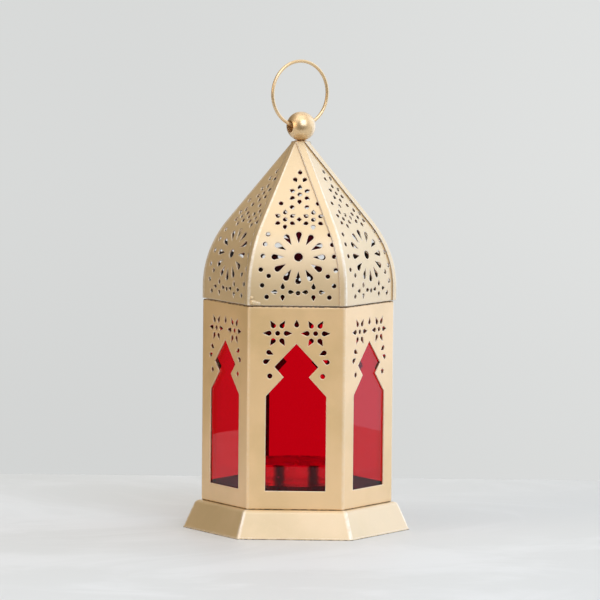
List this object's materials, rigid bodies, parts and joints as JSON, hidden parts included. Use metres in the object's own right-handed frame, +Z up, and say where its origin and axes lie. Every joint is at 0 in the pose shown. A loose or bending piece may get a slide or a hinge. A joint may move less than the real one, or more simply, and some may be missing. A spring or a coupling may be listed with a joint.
{
  "type": "candle lantern",
  "caption": "Hexagonal metal candle lantern with red glass panes, a pierced domed roof hinged at the rear, a flared base and a hanging ring.",
  "frame": {"origin": "on the table under the lantern's axis, at the bottom of the base rim", "axes": "+Z up, -Y out of the front face, corners on +X and -X"},
  "size_m": [0.0894, 0.0778, 0.1854],
  "materials": {
    "gold_sheet": "satin champagne gold",
    "red_glass": "clear red",
    "cup_metal": "bright",
    "foil": "bright",
    "wax": "waxy",
    "wick": "waxed cotton"
  },
  "bodies": {
    "lantern": {"base_pan": "gold_sheet", "base_rivets": "gold_sheet", "candle_cup": "cup_metal", "cup_rivet": "cup_metal", "body_shell": "gold_sheet", "glass_pane_1": "red_glass", "glass_pane_2": "red_glass", "glass_pane_3": "red_glass", "glass_pane_4": "red_glass", "glass_pane_5": "red_glass", "glass_pane_6": "red_glass", "glass_clips_1": "gold_sheet", "glass_clips_2": "gold_sheet", "glass_clips_3": "gold_sheet", "glass_clips_4": "gold_sheet", "glass_clips_5": "gold_sheet", "glass_clips_6": "gold_sheet", "hinge_leaf_body": "gold_sheet", "hinge_rivets_body": "gold_sheet", "hinge_pin": "gold_sheet"},
    "roof": {"roof_panel_1": "gold_sheet", "roof_panel_2": "gold_sheet", "roof_panel_3": "gold_sheet", "roof_panel_4": "gold_sheet", "roof_panel_5": "gold_sheet", "roof_panel_6": "gold_sheet", "solder_tacks": "gold_sheet", "apex_collar": "gold_sheet", "apex_washer": "gold_sheet", "apex_nut": "gold_sheet", "finial_ball": "gold_sheet", "finial_stem": "gold_sheet", "hinge_leaf_roof": "gold_sheet", "hinge_rivets_roof": "gold_sheet"},
    "ring": {"hanging_ring": "gold_sheet"},
    "tealight": {"tealight_shell": "foil", "tealight_wax": "wax", "tealight_wick": "wick", "wick_tab": "foil"}
  },
  "joints": [
    {"name": "roof_hinge", "type": "hinge", "parent": "lantern", "child": "roof", "pos_m": [0, 0.0351, 0.0906], "axis": [-1, 0, 0], "range_deg": [0, 110]},
    {"name": "ring_swing", "type": "hinge", "parent": "roof", "child": "ring", "pos_m": [0.0004, 0, 0.1592], "axis": [0.829, 0.5592, 0], "range_deg": [-138, 138]},
    {"name": "tealight_lift", "type": "slide", "parent": "lantern", "child": "tealight", "axis": [0, 0, 1], "range_m": [0, 0.09]}
  ]
}
